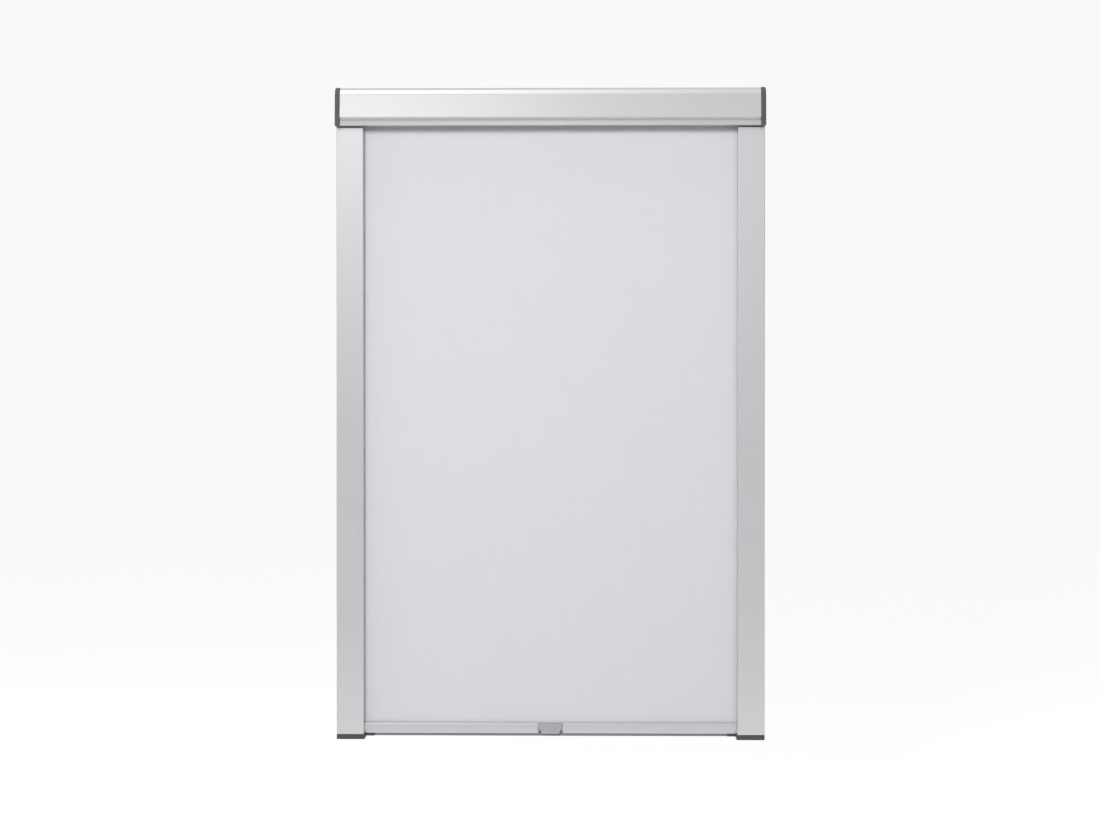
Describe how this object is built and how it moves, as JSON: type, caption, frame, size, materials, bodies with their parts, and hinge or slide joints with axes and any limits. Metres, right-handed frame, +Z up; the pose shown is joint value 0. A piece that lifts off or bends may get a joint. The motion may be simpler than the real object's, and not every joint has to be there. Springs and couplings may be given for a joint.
{
  "type": "roof window roller blind",
  "caption": "Spring roller blind for a roof window: a gripped bottom bar slides in two side rails and draws the cloth down from a head casing, where the roller winds it up again.",
  "frame": {"origin": "On the flat back of the head casing, on the blind's centre line and at the casing's mid-height.", "axes": "X runs across the blind to the right as seen from the room, Y points from the room to the window, Z points up along the side rails."},
  "size_m": [0.613, 0.047, 0.9307],
  "materials": {
    "anodised_aluminium": "satin, clear anodised",
    "tube_aluminium": "mill finish",
    "dark_plastic": "dark grey moulded plastic with a fine grain",
    "grip_plastic": "mid grey moulded plastic with a fine grain",
    "cloth": "close-woven blackout cloth, pale with a slight lavender cast",
    "bright_steel": "bright zinc plate",
    "spring_steel": "oiled spring steel",
    "natural_plastic": "natural moulded plastic",
    "keder_plastic": "extruded plastic strip",
    "seal_rubber": "soft grey sealing strip",
    "brake_rubber": "firm black friction rubber"
  },
  "bodies": {
    "frame": {"casing": "anodised_aluminium", "end_cap_left": "dark_plastic", "end_cap_right": "dark_plastic", "cap_screw_left_top": "bright_steel", "cap_screw_left_bottom": "bright_steel", "cap_screw_right_top": "bright_steel", "cap_screw_right_bottom": "bright_steel", "bracket_left": "bright_steel", "bracket_right": "bright_steel", "side_rail_left": "anodised_aluminium", "side_rail_right": "anodised_aluminium", "rail_cap_left": "dark_plastic", "rail_cap_right": "dark_plastic", "spring_arbor": "bright_steel", "spring_anchor": "natural_plastic", "torsion_spring": "spring_steel", "idle_pin": "bright_steel", "fabric_panel": "cloth"},
    "roller": {"roller_tube": "tube_aluminium", "roller_keder": "keder_plastic", "fabric_roll": "cloth", "idle_plug": "natural_plastic", "spring_bush": "natural_plastic", "spring_plug": "natural_plastic"},
    "bar": {"bottom_bar": "anodised_aluminium", "bar_keder": "keder_plastic", "bar_seal": "seal_rubber", "grip": "grip_plastic", "slide_shoe_left": "dark_plastic", "slide_shoe_right": "dark_plastic", "brake_spring_left": "spring_steel", "brake_spring_right": "spring_steel", "brake_pad_left": "brake_rubber", "brake_pad_right": "brake_rubber"}
  },
  "joints": [
    {"name": "bar_slide", "type": "slide", "parent": "frame", "child": "bar", "axis": [0, 0, 1], "range_m": [0, 0.849], "deforming": ["fabric_panel"]},
    {"name": "roller_spin", "type": "hinge", "parent": "frame", "child": "roller", "pos_m": [0, -0.02441, 0.002], "axis": [1, 0, 0], "range_deg": [0, 3262]}
  ],
  "couplings": [
    {"joint": "roller_spin", "follows": "bar_slide", "rad_per_m": 67}
  ]
}
